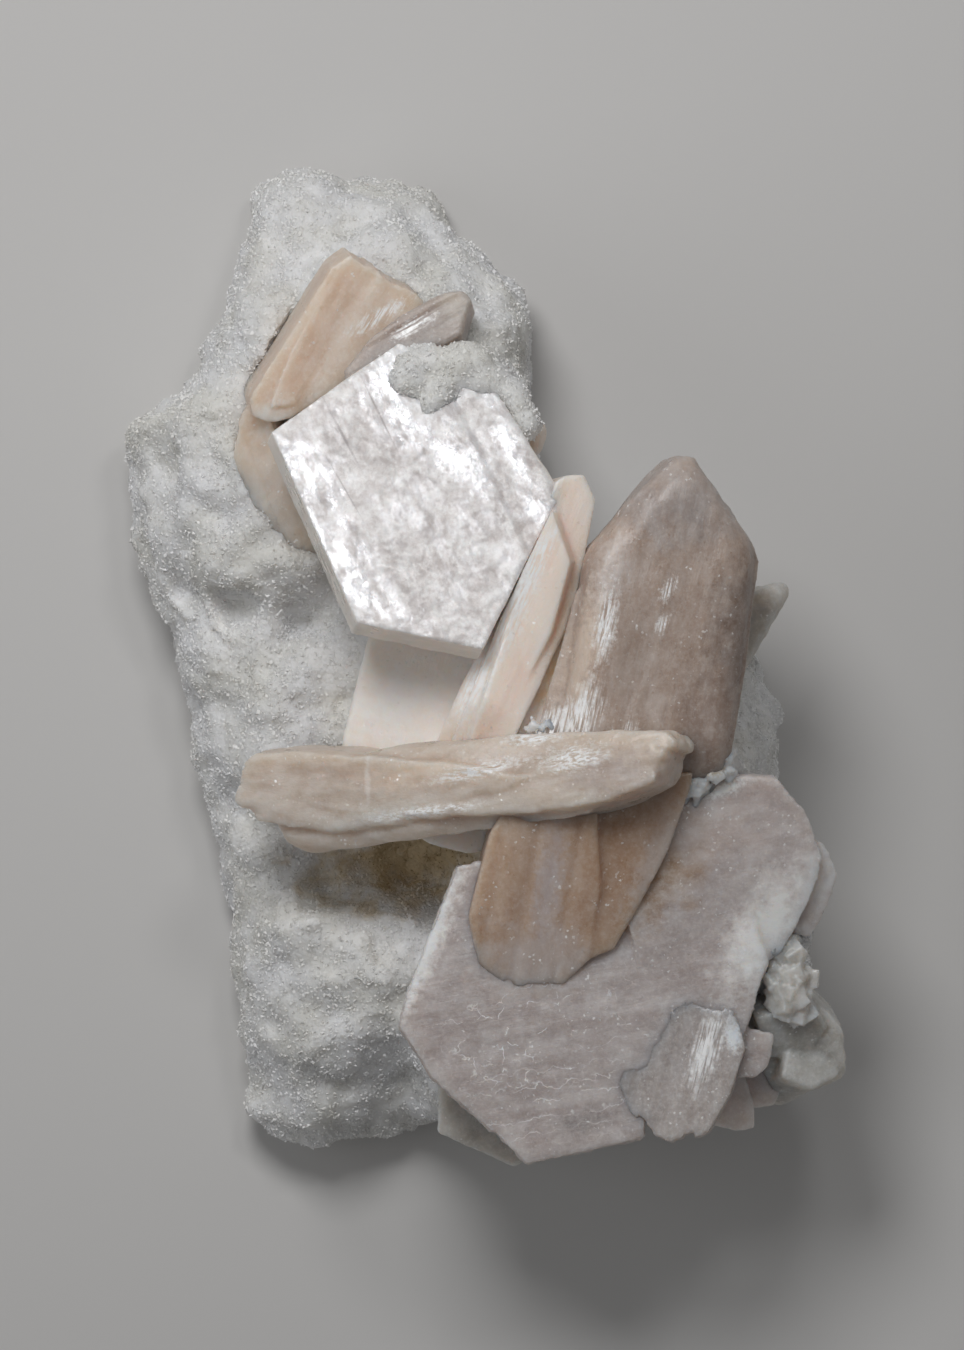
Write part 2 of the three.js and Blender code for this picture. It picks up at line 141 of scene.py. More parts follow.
def pressed_down(piece, x, y, reach, depth):
    """The part of a piece round a place is sunk, and what is further off follows less and less."""
    select_only(piece)
    bpy.ops.object.mode_set(mode="EDIT")
    bpy.ops.mesh.select_all(action="DESELECT")
    bpy.ops.object.mode_set(mode="OBJECT")
    place = Vector((x + ROW_SHIFT.x, y + ROW_SHIFT.y)) * MM
    for corner in piece.data.vertices:
        corner.select = (corner.co.xy - place).length < HELD_SHARE * reach * MM and corner.co.z > BACK_KEPT
    bpy.ops.object.mode_set(mode="EDIT")
    bpy.ops.transform.translate(value=(0, 0, -depth * MM), use_proportional_edit=True,
                                proportional_edit_falloff="SMOOTH", proportional_size=reach * MM)
    bpy.ops.object.mode_set(mode="OBJECT")


def put_in_place(piece, node, slot, finish):
    """A finished piece stands for its solid, smooth over its small faces and sharp at its edges."""
    if slot != "matrix":
        mark_edges(piece)
        finish_with(piece, "DECIMATE", ratio=KEPT_FACES)
    select_only(piece)
    bpy.ops.object.shade_smooth_by_angle(angle=SHARP_EDGE)
    piece.data.materials.clear()
    piece.data.materials.append(finish)
    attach(piece, "root")
    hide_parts(node)


def new_finish(name):
    finish = bpy.data.materials.new(name)
    finish.use_nodes = True
    tree = finish.node_tree
    shader = tree.nodes["Principled BSDF"]
    places = tree.nodes.new("ShaderNodeTexCoord").outputs["Object"]
    return finish, tree, shader, places


def add_node(tree, kind, inputs=None, **settings):
    """A node with its settings, its plain numbers set on its sockets, and its sources linked to them."""
    node = tree.nodes.new(kind)
    for setting, value in settings.items():
        setattr(node, setting, value)
    for socket, value in (inputs or {}).items():
        if isinstance(value, bpy.types.NodeSocket):
            tree.links.new(value, node.inputs[socket])
        else:
            node.inputs[socket].default_value = value
    return node


def clouds(tree, places, size, detail=3.0, roughness=0.55, distortion=0.0):
    """Soft noise whose blotches are about a size across."""
    return add_node(tree, "ShaderNodeTexNoise", {"Vector": places, "Scale": 1 / size, "Detail": detail,
                                                 "Roughness": roughness, "Distortion": distortion}).outputs["Fac"]


def between(tree, value, low, high, start=0.0, end=1.0):
    """Turns the part of a value from low to high into start to end."""
    return add_node(tree, "ShaderNodeMapRange", {"Value": value, "From Min": low, "From Max": high, "To Min": start,
                                                 "To Max": end}, clamp=True).outputs["Result"]


def blend(tree, share, first, second, mode="MIX"):
    mix = tree.nodes.new("ShaderNodeMix")
    mix.data_type = "RGBA"
    mix.blend_type = mode
    for socket, value in ((0, share), (6, first), (7, second)):
        if isinstance(value, bpy.types.NodeSocket):
            tree.links.new(value, mix.inputs[socket])
        else:
            mix.inputs[socket].default_value = value
    return mix.outputs[2]


def spot(tree, places, x, y, long, wide, angle, ragged=0.35):
    """1 at a place on the piece, falling to 0 at the rim of an oval turned by the angle, with a ragged edge."""
    oval = add_node(tree, "ShaderNodeMapping",
                    {"Vector": places, "Location": ((x + ROW_SHIFT.x) * MM, (y + ROW_SHIFT.y) * MM, 0),
                     "Rotation": (0, 0, math.radians(angle)), "Scale": (long * MM, wide * MM, 1)},
                    vector_type="TEXTURE").outputs[0]
    away = add_node(tree, "ShaderNodeVectorMath", {0: oval}, operation="LENGTH").outputs["Value"]
    rough = between(tree, clouds(tree, places, 0.4 * wide * MM, 4, 0.65), 0.3, 0.7, -ragged, ragged)
    return between(tree, joined(tree, "ADD", away, rough), 0.3, 1, 1, 0)


def joined(tree, way, first, second, **settings):
    return add_node(tree, "ShaderNodeMath", {0: first, 1: second}, operation=way, **settings).outputs[0]


def times(tree, value, share):
    return joined(tree, "MULTIPLY", value, share)


def bumped(tree, height, depth, base=None):
    bump = add_node(tree, "ShaderNodeBump", {"Height": height, "Distance": depth, "Strength": 1.0})
    if base:
        tree.links.new(base, bump.inputs["Normal"])
    return bump.outputs["Normal"]


def matrix_finish(name, white, cream, glow, rough):
    """White crystalline crust: grains of under half a millimetre, some cream, that light sinks into."""
    finish, tree, shader, places = new_finish(name)
    broad = between(tree, clouds(tree, places, 6 * MM, 4), 0.4, 0.65)
    fine = clouds(tree, places, 0.35 * MM, 2, 0.6)
    colour = blend(tree, broad, white, cream)
    colour = blend(tree, between(tree, fine, 0.3, 0.7, 0.2, 0), colour, cream)
    # Painted shade with a brown tint: the rock is darker and browner in the pocket under the crossing sheaf.
    colour = blend(tree, times(tree, spot(tree, places, *POCKET_OVAL), 0.85), colour, POCKET_BROWN_AND_SHADE)
    tree.links.new(colour, shader.inputs["Base Color"])
    grains = add_node(tree, "ShaderNodeTexVoronoi", {"Vector": places, "Scale": 1 / GRAIN_WIDTH}).outputs["Distance"]
    surface = bumped(tree, between(tree, grains, 0, 0.7, 1, 0), 0.09 * MM)
    tree.links.new(bumped(tree, fine, 0.1 * MM, surface), shader.inputs["Normal"])
    shader.inputs["Roughness"].default_value = rough
    shader.subsurface_method = "BURLEY"
    shader.inputs["Subsurface Weight"].default_value = glow
    shader.inputs["Subsurface Scale"].default_value = 1.4 * MM
    shader.inputs["Subsurface Radius"].default_value = (1, 0.92, 0.82)
    return finish


matrix = solid_copy("matrix", "matrix_rock")
for x, y, z, wide, tall in SUNKEN_LUMPS:
    bpy.ops.object.select_all(action="DESELECT")
    bpy.ops.mesh.primitive_ico_sphere_add(subdivisions=3, radius=MM, scale=(wide, wide, tall),
                                          location=((x + ROW_SHIFT.x) * MM, (y + ROW_SHIFT.y) * MM, z * MM))
    lump = bpy.context.view_layer.objects.active
    select_only(matrix, lump)
    bpy.ops.object.join()
finish_with(matrix, "REMESH", mode="VOXEL", voxel_size=MATRIX_GRAIN)
for fold in FOLDS:
    pressed_down(matrix, *fold)
for lump, height in MATRIX_LUMPS:
    raise_relief(matrix, lump, height, MATRIX_MIDDLE)
edit_all(matrix)
bpy.ops.mesh.bisect(plane_co=(0, 0, 0), plane_no=(0, 0, 1), use_fill=True, clear_inner=True, threshold=TOUCHING)
bpy.ops.object.mode_set(mode="OBJECT")
put_in_place(matrix, "matrix", "matrix", matrix_finish("sugary_rock", MATRIX_WHITE, MATRIX_CREAM, 1, 0.6))

# The druse: the crust of tiny glassy crystals that makes the matrix look like sugar. Each is a blunt point of less than
# half a millimetre, grown at every angle, and they crowd over all of the rock but its cut back.
DRUSE_SIZES = (0.10 * MM, 0.32 * MM)
DRUSE_LAYERS = [("matrix_druse", 3.4, 5), ("matrix_druse_fine", 3.4, 17)]  # name, crystals on a square mm, seed


def druse_crystal():
    """One blunt point: a low four-sided pyramid."""
    bpy.ops.mesh.primitive_cone_add(vertices=4, radius1=0.75, depth=0.9)
    return bpy.context.view_layer.objects.active


def scattered(name, ground, crystal, density, seed, sizes):
    """Copies of a crystal, turned at random, strewn over the ground's upper side and walls as one mesh."""
    tree = bpy.data.node_groups.new(name, "GeometryNodeTree")
    for way in ("INPUT", "OUTPUT"):
        tree.interface.new_socket("Geometry", in_out=way, socket_type="NodeSocketGeometry")
    start = tree.nodes.new("NodeGroupInput")
    height = add_node(tree, "ShaderNodeSeparateXYZ", {0: tree.nodes.new("GeometryNodeInputNormal").outputs[0]})
    open_side = add_node(tree, "ShaderNodeMapRange", {"Value": height.outputs["Z"], "From Min": -0.6, "From Max": 0.5,
                                                      "To Min": 0.0, "To Max": density / MM**2})
    place = tree.nodes.new("GeometryNodeInputPosition").outputs[0]
    thick_there = add_node(tree, "ShaderNodeMapRange",
                           {"Value": add_node(tree, "ShaderNodeTexNoise", {"Vector": place, "Scale": 1 / (4 * MM)})
                            .outputs[0], "From Min": 0.38, "From Max": 0.6, "To Min": 0.6, "To Max": 1.3})
    density_there = add_node(tree, "ShaderNodeMath", {0: open_side.outputs[0], 1: thick_there.outputs[0]},
                             operation="MULTIPLY")
    points = add_node(tree, "GeometryNodeDistributePointsOnFaces",
                      {"Mesh": start.outputs[0], "Density": density_there.outputs[0], "Seed": seed})
    turn = add_node(tree, "FunctionNodeRandomValue", {"Max": (6.3, 6.3, 6.3), "Seed": seed}, data_type="FLOAT_VECTOR")
    size = add_node(tree, "FunctionNodeRandomValue", {"Min": (sizes[0],) * 3, "Max": (sizes[1],) * 3,
                                                      "Seed": seed + 1}, data_type="FLOAT_VECTOR")
    shape = add_node(tree, "GeometryNodeObjectInfo", {"Object": crystal})
    copies = add_node(tree, "GeometryNodeInstanceOnPoints",
                      {"Points": points.outputs[0], "Instance": shape.outputs["Geometry"],
                       "Rotation": turn.outputs[0], "Scale": size.outputs[0]})
    whole = add_node(tree, "GeometryNodeRealizeInstances", {"Geometry": copies.outputs[0]})
    tree.links.new(whole.outputs[0], tree.nodes.new("NodeGroupOutput").inputs[0])
    select_only(ground)
    bpy.ops.object.duplicate()
    piece = bpy.context.view_layer.objects.active
    piece.name = piece.data.name = name
    finish_with(piece, "NODES", node_group=tree)
    return piece


crystal = druse_crystal()
glassy_druse = matrix_finish("glassy_druse", (0.90, 0.90, 0.91, 1), (0.84, 0.83, 0.80, 1), 0, 0.35)
for name, density, seed in DRUSE_LAYERS:
    druse = scattered(name, matrix, crystal, density, seed, DRUSE_SIZES)
    put_in_place(druse, "matrix", "matrix", glassy_druse)
bpy.data.objects.remove(crystal)

# The pearly plate: one broad flat crystal with a silky, glossy face that splits in steps, its silvery patches painted
# sheen, faint creases along its left side painted as dark lines of shade, and pale thin edges. The crust of the matrix
# grew over its top right corner.
PEARLY_OUTLINE = [(-18.3, 19.6), (-11.1, 3.6), (-0.7, 1.4), (5.6, 14.1), (5.6, 15), (0, 23.7), (-7.7, 27.1)]
PEARLY_LEAN = (28, -13, -7)  # height of its face in mm, and how many degrees it climbs upwards and to the right
PEARLY_RUN = -65.8  # the way of its creases, in degrees
FROST = (0.92, 0.91, 0.90, 1)
SEAM = 0.18 * MM  # how far every crystal reaches past its outline, to meet what it is grown on
PEARLY_STRIPS = [5.2, 3.3, 7.2, 20]  # mm across each, from the left
# The painted shade of the creases and the patches of painted sheen are ovals: middle, half length, half width and
# angle.
PEARLY_CREASE_SHADE = [(-12.6, 19.6, 4.2, 0.16, -62), (-9.4, 21.2, 4.0, 0.12, -64), (-12.4, 15.0, 3.6, 0.1, -60)]
PEARLY_GLOSS_AND_SHEEN = [(-15.2, 15.6, 4.6, 3.0, 114), (-12.6, 8.2, 5.6, 2.8, 114), (-8.2, 24.2, 5.2, 1.9, 28),
                (-6.6, 20.6, 4.6, 1.9, -55), (-2.6, 17.2, 5.4, 2.0, -40), (4.0, 13.2, 3.2, 1.7, -62),
                (1.6, 18.4, 3.4, 1.2, -62), (-9.4, 5.0, 4.6, 1.3, -20)]


def cut_slab(name, outline, lean, thick, cuts=(), bevel=0.0, drop=0.0):
    """One flat crystal: a block laid on its leaning face and cut just outside every side of its outline, in mm, so
    that it meets its neighbours. A cut is a point and the direction of what it takes away."""
    face, up, right = lean
    rise = Vector((math.tan(math.radians(right)), math.tan(math.radians(up))))
    normal = Vector((-rise.x, -rise.y, 1)).normalized()
    corners = [Vector(corner) for corner in outline]
    middle = sum(corners, Vector((0, 0))) / len(corners)
    corners = [corners[i] for i in convex_hull_2d(corners)]

    def on_face(corner):
        moved = corner + ROW_SHIFT
        return Vector((moved.x, moved.y, face - drop + rise.dot(corner - middle))) * MM

    centre = on_face(middle) - normal * thick / 2 * MM
    bpy.ops.object.select_all(action="DESELECT")
    bpy.ops.mesh.primitive_cube_add(size=1, location=centre, rotation=normal.to_track_quat("Z", "Y").to_euler(),
                                    scale=(120 * MM, 120 * MM, thick * MM))
    slab = bpy.context.view_layer.objects.active
    slab.name = slab.data.name = name
    bpy.ops.object.transform_apply(location=True, rotation=True, scale=True)
    edit_all(slab)
    area = sum(a.x * b.y - b.x * a.y for a, b in zip(corners, corners[1:] + corners[:1]))
    sides = []
    for a, b in zip(corners, corners[1:] + corners[:1]):
        outward = ((on_face(b) - on_face(a)).cross(normal) * (1 if area > 0 else -1)).normalized()
        sides.append((on_face(a) + outward * SEAM, outward))
    for place, away in cuts:
        outward = (on_face(Vector(place) + Vector(away)) - on_face(Vector(place))).normalized()
        sides.append((on_face(Vector(place)), outward))
    for place, outward in sides:
        bpy.ops.mesh.select_all(action="SELECT")
        bpy.ops.mesh.bisect(plane_co=place, plane_no=outward, use_fill=True, clear_outer=True, threshold=TOUCHING)
    if bevel:
        bpy.ops.mesh.select_all(action="SELECT")
        bpy.ops.mesh.bevel(offset=bevel * MM, segments=2, affect="EDGES")
    bpy.ops.object.mode_set(mode="OBJECT")
    return slab


def mark_edges(piece, rounds=40):
    """Writes on every point how far it stands out of the smoothed shape, in units of 0.1 mm: its thin edges are above
    0 and its hollows below."""
    select_only(piece)
    bpy.ops.object.duplicate()
    worn = bpy.context.view_layer.objects.active
    finish_with(worn, "SMOOTH", factor=0.5, iterations=rounds)
    edge = piece.data.attributes.new("edge", "FLOAT", "POINT")
    heights = [(a.co - b.co).dot(a.normal) / (0.1 * MM) for a, b in zip(piece.data.vertices, worn.data.vertices)]
    edge.data.foreach_set("value", heights)
    bpy.data.objects.remove(worn)


def grown_together(name, slabs, grain, rounding):
    """Slabs fused into one mesh with faces of a grain in mm, its edges worn round in so many rounds."""
    select_only(*slabs)
    bpy.ops.object.join()
    piece = bpy.context.view_layer.objects.active
    piece.name = piece.data.name = name
    finish_with(piece, "REMESH", mode="VOXEL", voxel_size=grain * MM)
    if rounding:
        finish_with(piece, "SMOOTH", factor=0.5, iterations=rounding)
    return piece


def strip_slabs(name, outline, lean, thick, angle, widths, lift, slide, bevel, seed, drop=0.0):
    """A crystal that splits lengthwise: its slab in strips of the widths given, in mm, each a little lower and further
    on than the outline says, at random up to a lift and a slide."""
    chance = random.Random(seed)
    run = Vector((math.cos(math.radians(angle)), math.sin(math.radians(angle))))
    across = Vector((-run.y, run.x))
    corners = [Vector(corner) for corner in outline]
    start = min(corner.dot(across) for corner in corners)
    end = max(corner.dot(across) for corner in corners)
    strips = []
    for width in widths:
        if start > end - 0.05:
            break
        stop = min(start + width, end)
        if end - stop < 0.3:
            stop = end
        moved = run * chance.uniform(-slide, slide)
        placed = [tuple(corner + moved) for corner in corners]
        sides = [(tuple(across * start), tuple(-across)), (tuple(across * stop), tuple(across))]
        strips.append(cut_slab(f"{name}_{len(strips)}", placed, lean, thick, sides, bevel,
                               drop + chance.uniform(0, lift)))
        start = stop
    return strips


def frayed_rim(piece, lump, height):
    """The sides of a plate, not its face, are made uneven in lumps of a size."""
    rim = piece.vertex_groups.new(name="rim")
    for corner in piece.data.vertices:
        rim.add([corner.index], max(0.0, 1 - 1.25 * abs(corner.normal.z)), "REPLACE")
    raise_relief(piece, lump, height, 0.5, group="rim")


def flakes(tree, places, size, share, tilt, base):
    """Small flat flakes, in a share of the surface, that face another way, so that some of them flash: which places
    they take, and the way that the surface faces."""
    cells = add_node(tree, "ShaderNodeTexVoronoi", {"Vector": places, "Scale": 1 / size}).outputs["Color"]
    parts = add_node(tree, "ShaderNodeSeparateColor", {0: cells})
    chosen = between(tree, parts.outputs[0], 1 - share - 0.01, 1 - share)
    way = add_node(tree, "ShaderNodeVectorMath", {0: cells, 1: (0.5, 0.5, 0.5)}, operation="SUBTRACT").outputs[0]
    turned = add_node(tree, "ShaderNodeVectorMath", {0: way}, operation="SCALE")
    tree.links.new(times(tree, chosen, tilt), turned.inputs["Scale"])
    added = add_node(tree, "ShaderNodeVectorMath", {0: base, 1: turned.outputs[0]}, operation="ADD").outputs[0]
    return chosen, add_node(tree, "ShaderNodeVectorMath", {0: added}, operation="NORMALIZE").outputs[0]


def along_grain(tree, places, angle, run, width):
    """Places measured along and across a crystal, so that what is drawn on them runs on in streaks."""
    return add_node(tree, "ShaderNodeMapping", {"Vector": places, "Rotation": (0, 0, math.radians(angle)),
                                                "Scale": (run, width, width)}, vector_type="TEXTURE").outputs[0]


def wavered(tree, places, size, detail, reach):
    """Places pushed about by soft noise, so that what is drawn on them isn't straight."""
    noise = add_node(tree, "ShaderNodeTexNoise", {"Vector": places, "Scale": 1 / size, "Detail": detail})
    shift = add_node(tree, "ShaderNodeVectorMath", {0: noise.outputs["Color"]}, operation="SCALE")
    shift.inputs["Scale"].default_value = reach
    return add_node(tree, "ShaderNodeVectorMath", {0: places, 1: shift.outputs[0]}, operation="ADD").outputs[0]


def pearly_finish():
    """Silk, glossier in ragged patches that are also painted near-white as painted sheen, over a duller, frosted
    ground, with paler sides and creases painted dark as shade.
    """
    finish, tree, shader, places = new_finish("pearly_face")
    glossy_sheen_ovals = None
    for place in PEARLY_GLOSS_AND_SHEEN:
        one = spot(tree, places, *place)
        glossy_sheen_ovals = joined(tree, "MAXIMUM", glossy_sheen_ovals, one) if glossy_sheen_ovals else one
    silk = along_grain(tree, places, PEARLY_RUN, 2.2 * MM, 1.0 * MM)
    grain = between(tree, clouds(tree, silk, 1, 6, 0.6), 0.38, 0.62, 0.0, 1)
    whole = between(tree, clouds(tree, places, 3.4 * MM, 4, 0.6), 0.40, 0.60, 0, 1)
    gloss_and_painted_sheen = joined(tree, "ADD", times(tree, glossy_sheen_ovals, joined(tree, "ADD", grain, 0.15)),
                     times(tree, times(tree, grain, whole), 0.55), use_clamp=True)
    dull = blend(tree, clouds(tree, places, 3 * MM), (0.54, 0.50, 0.49, 1), (0.66, 0.60, 0.575, 1))
    dull = blend(tree, between(tree, clouds(tree, places, 1.5 * MM, 6, 0.72), 0.42, 0.62, 0, 0.8), dull, FROST)
    # Painted sheen: the glossy patches are painted near-white.
    colour = blend(tree, gloss_and_painted_sheen, dull, (0.96, 0.96, 1.0, 1))
    side = between(tree, add_node(tree, "ShaderNodeSeparateXYZ", {
        0: tree.nodes.new("ShaderNodeNewGeometry").outputs["True Normal"]}).outputs["Z"], 0.6, 0.85, 1, 0)
    colour = blend(tree, side, colour, (0.90, 0.85, 0.79, 1))
    # Painted shade: the creases are painted as dark lines.
    for place in PEARLY_CREASE_SHADE:
        colour = blend(tree, times(tree, spot(tree, places, *place), 0.8), colour, (0.42, 0.38, 0.38, 1))
    tree.links.new(colour, shader.inputs["Base Color"])
    moved = wavered(tree, places, 0.8 * MM, 4.0, 1.4 * MM)
    fine = bumped(tree, clouds(tree, places, 0.5 * MM, 5, 0.75), 0.06 * MM)
    normal = flakes(tree, along_grain(tree, moved, PEARLY_RUN, 1.5 * MM, 0.8 * MM), 1, 0.95, 0.13, fine)[1]
    tree.links.new(normal, shader.inputs["Normal"])
    tree.links.new(between(tree, gloss_and_painted_sheen, 0, 1, 0.4, 0.2), shader.inputs["Roughness"])
    tree.links.new(between(tree, gloss_and_painted_sheen, 0, 1, 0.0, 0.3), shader.inputs["Metallic"])
    shader.inputs["Specular IOR Level"].default_value = 0.7
    shader.inputs["Coat Weight"].default_value = 0.3
    shader.inputs["Coat Roughness"].default_value = 0.12
    shader.inputs["Subsurface Weight"].default_value = 0.5
    shader.inputs["Subsurface Scale"].default_value = 2.0 * MM
    shader.inputs["Subsurface Radius"].default_value = (1, 0.8, 0.7)
    return finish


pearly_slabs = strip_slabs("pearly", PEARLY_OUTLINE, PEARLY_LEAN, 4.0, PEARLY_RUN, PEARLY_STRIPS, 0.1, 0, 0.05, 3)
pearly_slabs.append(cut_slab("pearly_core", PEARLY_OUTLINE, PEARLY_LEAN, 3.6, (), 0.3, 0.2))
pearly = grown_together("pearly_plate_face", pearly_slabs, 0.16, 2)
raise_relief(pearly, 2.6, 0.16, 0.5)
raise_relief(pearly, 0.8, 0.07, 0.5)
put_in_place(pearly, "pearly_plate", "pearl", pearly_finish())

# The upper sheaf: a small bow tie of peach blades pinched at its waist, with a greyer blade across its right side. It
# splits along its length, and its lower half dives into the matrix. Outlines are corners in mm.
FAN = [(-11.8, 34.6), (-5.8, 30.7), (-8.3, 26.5), (-13, 23.9), (-17, 21.2), (-18.4, 20.7), (-19.9, 21.4),
       (-20.1, 22.6), (-19.4, 24.3), (-16.3, 29.4), (-13.7, 33.3)]
FAN_RIDGE = [(-12.6, 34), (-10.3, 33.4), (-13.8, 27), (-16.6, 22.2), (-18.4, 22), (-16.4, 27.6)]
FAN_FOOT = [(-19.9, 22.6), (-17.8, 21.6), (-15.1, 12.7), (-14.2, 8.8), (-17, 9.4), (-20, 13.5), (-21.8, 17.8),
            (-21.2, 20.4)]
FAN_SIDE = [(-12.3, 24.8), (-11.7, 23.9), (-8.7, 25.2), (-2.4, 28.1), (-1.8, 30.8), (-2.4, 31.6), (-3.5, 31.5),
            (-6, 30.6), (-10.1, 27.5)]
# The widths in mm of the strands that a sheaf splits into. Each piece takes them from another place in the row.
STRAND_WIDTHS = [0.9, 1.4, 0.7, 1.7, 1.1, 0.8, 1.9, 1.2, 0.6, 1.5, 1.0, 1.3, 0.8, 1.6, 1.1, 0.9, 1.4, 2.0, 1.2, 3.0,
                 3.0, 9.0]


def crystal_finish(name, angle, body, deep, spots=(), painted_silver=(), veil=0.25, frost=0.15, gloss=0.42, depth=4.0,
                   drawn=None):
    """Translucent zeolite: its colour lies in soft zones, with whitish veils and frost. Its hollows are painted deeper
    as painted shade, its thin edges paler with whitish frost that is partly a painted glow of light through them, its
    silvery fibres in places painted near-white as painted highlights, and its clusters of tiny flashing flakes painted
    near-white as painted glints over their real gloss. Spots are ovals of another colour and how much of it, the depth
    is how far light spreads in it in mm, and what is drawn on it is a function."""
    finish, tree, shader, places = new_finish(name)
    fibres = clouds(tree, along_grain(tree, places, angle, 3 * MM, 0.2 * MM), 1, 3, 0.6)
    zones = between(tree, clouds(tree, along_grain(tree, places, angle, 7 * MM, 4.5 * MM), 1, 2, 0.45), 0.36, 0.64)
    colour = blend(tree, zones, body, deep)
    for place, tint, share in spots:
        colour = blend(tree, times(tree, spot(tree, places, *place), share), colour, tint)
    edges = add_node(tree, "ShaderNodeAttribute", attribute_name="edge").outputs["Fac"]
    # Painted shade: the colour is darkened in the hollows.
    colour = blend(tree, between(tree, edges, -0.3, -2.2, 0, 0.3), colour,
                   blend(tree, 1.0, colour, (0.84, 0.70, 0.56, 1), "MULTIPLY"))
    # Whitish frost on the thin edges, partly a painted glow of light passing through them.
    colour = blend(tree, between(tree, edges, 1.0, 5.0, 0, 0.4), colour, FROST)
    cloudy = clouds(tree, along_grain(tree, places, angle, 2.2 * MM, 1.6 * MM), 1, 5, 0.6)
    colour = blend(tree, between(tree, cloudy, 0.42, 0.78, 0, veil), colour, FROST)
    colour = blend(tree, between(tree, clouds(tree, places, 0.4 * MM, 4, 0.75), 0.45, 0.72, 0, frost), colour, FROST)
    surface = bumped(tree, fibres, 0.04 * MM)
    surface = bumped(tree, clouds(tree, places, 0.3 * MM, 3, 0.6), 0.04 * MM, surface)
    chosen, surface = flakes(tree, places, 0.17 * MM, 0.035, 0.6, surface)
    chosen = times(tree, chosen, between(tree, clouds(tree, places, 2.4 * MM, 4, 0.65), 0.5, 0.62))
    # Painted glints: the flashing flakes are also painted near-white.
    colour = blend(tree, times(tree, chosen, 0.6), colour, (0.98, 0.98, 0.98, 1))
    # Painted highlights: the silvery fibres are painted near-white over their real gloss.
    for place in painted_silver:
        streaks = times(tree, spot(tree, places, *place), between(tree, fibres, 0.42, 0.55))
        chosen = joined(tree, "MAXIMUM", chosen, streaks)
        colour = blend(tree, streaks, colour, (0.98, 0.98, 0.98, 1))
    if drawn:
        colour = blend(tree, drawn(tree, places), colour, (0.97, 0.96, 0.96, 1))
    tree.links.new(colour, shader.inputs["Base Color"])
    tree.links.new(surface, shader.inputs["Normal"])
    rough = between(tree, cloudy, 0.35, 0.65, gloss - 0.1, gloss + 0.14)
    tree.links.new(blend(tree, chosen, rough, (0.12, 0.12, 0.12, 1)), shader.inputs["Roughness"])
    shader.inputs["Coat Weight"].default_value = 0.12
    shader.inputs["Coat Roughness"].default_value = 0.25
    tree.links.new(between(tree, chosen, 0, 1, 1, 0), shader.inputs["Subsurface Weight"])
    shader.inputs["Subsurface Scale"].default_value = depth * MM
    shader.inputs["Subsurface Radius"].default_value = (1, 0.8, 0.64)
    return finish


upper_slabs = strip_slabs("fan", FAN, (22, 8, -6), 6.5, 58, STRAND_WIDTHS, 0.12, 0.2, 0.05, 11)
upper_slabs += strip_slabs("fan_ridge", FAN_RIDGE, (22.3, 8, -12), 5, 60, STRAND_WIDTHS[3:], 0.12, 0.2, 0.05, 12)
upper_slabs += strip_slabs("fan_foot", FAN_FOOT, (18.8, 16, 7), 5.5, 108, STRAND_WIDTHS[5:], 0.2, 0.3, 0.12, 13)
upper = grown_together("upper_sheaf_fan", upper_slabs, 0.16, 4)
raise_relief(upper, 1.4, 0.3, 0.45, 6, 60)
raise_relief(upper, 0.5, 0.06, 0.45, 4, 60)
FAN_SPOTS = [
    ((-12.5, 27.5, 7.5, 1.3, 60), (0.86, 0.78, 0.70, 1), 0.5), ((-9.5, 31, 3.5, 1.6, -30), (0.82, 0.72, 0.62, 1), 0.4),
    ((-18.8, 21.2, 2.6, 1.6, 60), (0.84, 0.80, 0.76, 1), 0.5), ((-19, 15, 5, 4, 90), (0.88, 0.76, 0.68, 1), 0.6)]
# The fan's silvery streak, the list after its spots, is a painted highlight.
put_in_place(upper, "upper_sheaf", "peach",
             crystal_finish("peach_fan", 60, (0.70, 0.56, 0.45, 1), (0.67, 0.52, 0.41, 1), FAN_SPOTS,
                            [(-9.5, 29.5, 3.5, 0.8, 30)], 0.25, 0.2))
side_slabs = strip_slabs("fan_side", FAN_SIDE, (24.6, -12, 4), 5, 30, STRAND_WIDTHS[6:], 0.2, 0.2, 0.2, 14)
side = grown_together("upper_sheaf_side", side_slabs, 0.15, 6)
raise_relief(side, 0.6, 0.1, 0.45, 9, 30)
SIDE_SPOTS = [((-3, 30.3, 1.8, 1.6, 0), (0.56, 0.52, 0.46, 1), 0.5)]
# The side blade's silvery streak, the list after its spots, is a painted highlight.
put_in_place(side, "upper_sheaf", "peach",
             crystal_finish("grey_side", 30, (0.37, 0.31, 0.275, 1), (0.33, 0.275, 0.25, 1), SIDE_SPOTS,
                            [(-6.5, 28.7, 2.4, 0.7, 30)], 0.15, 0.2))

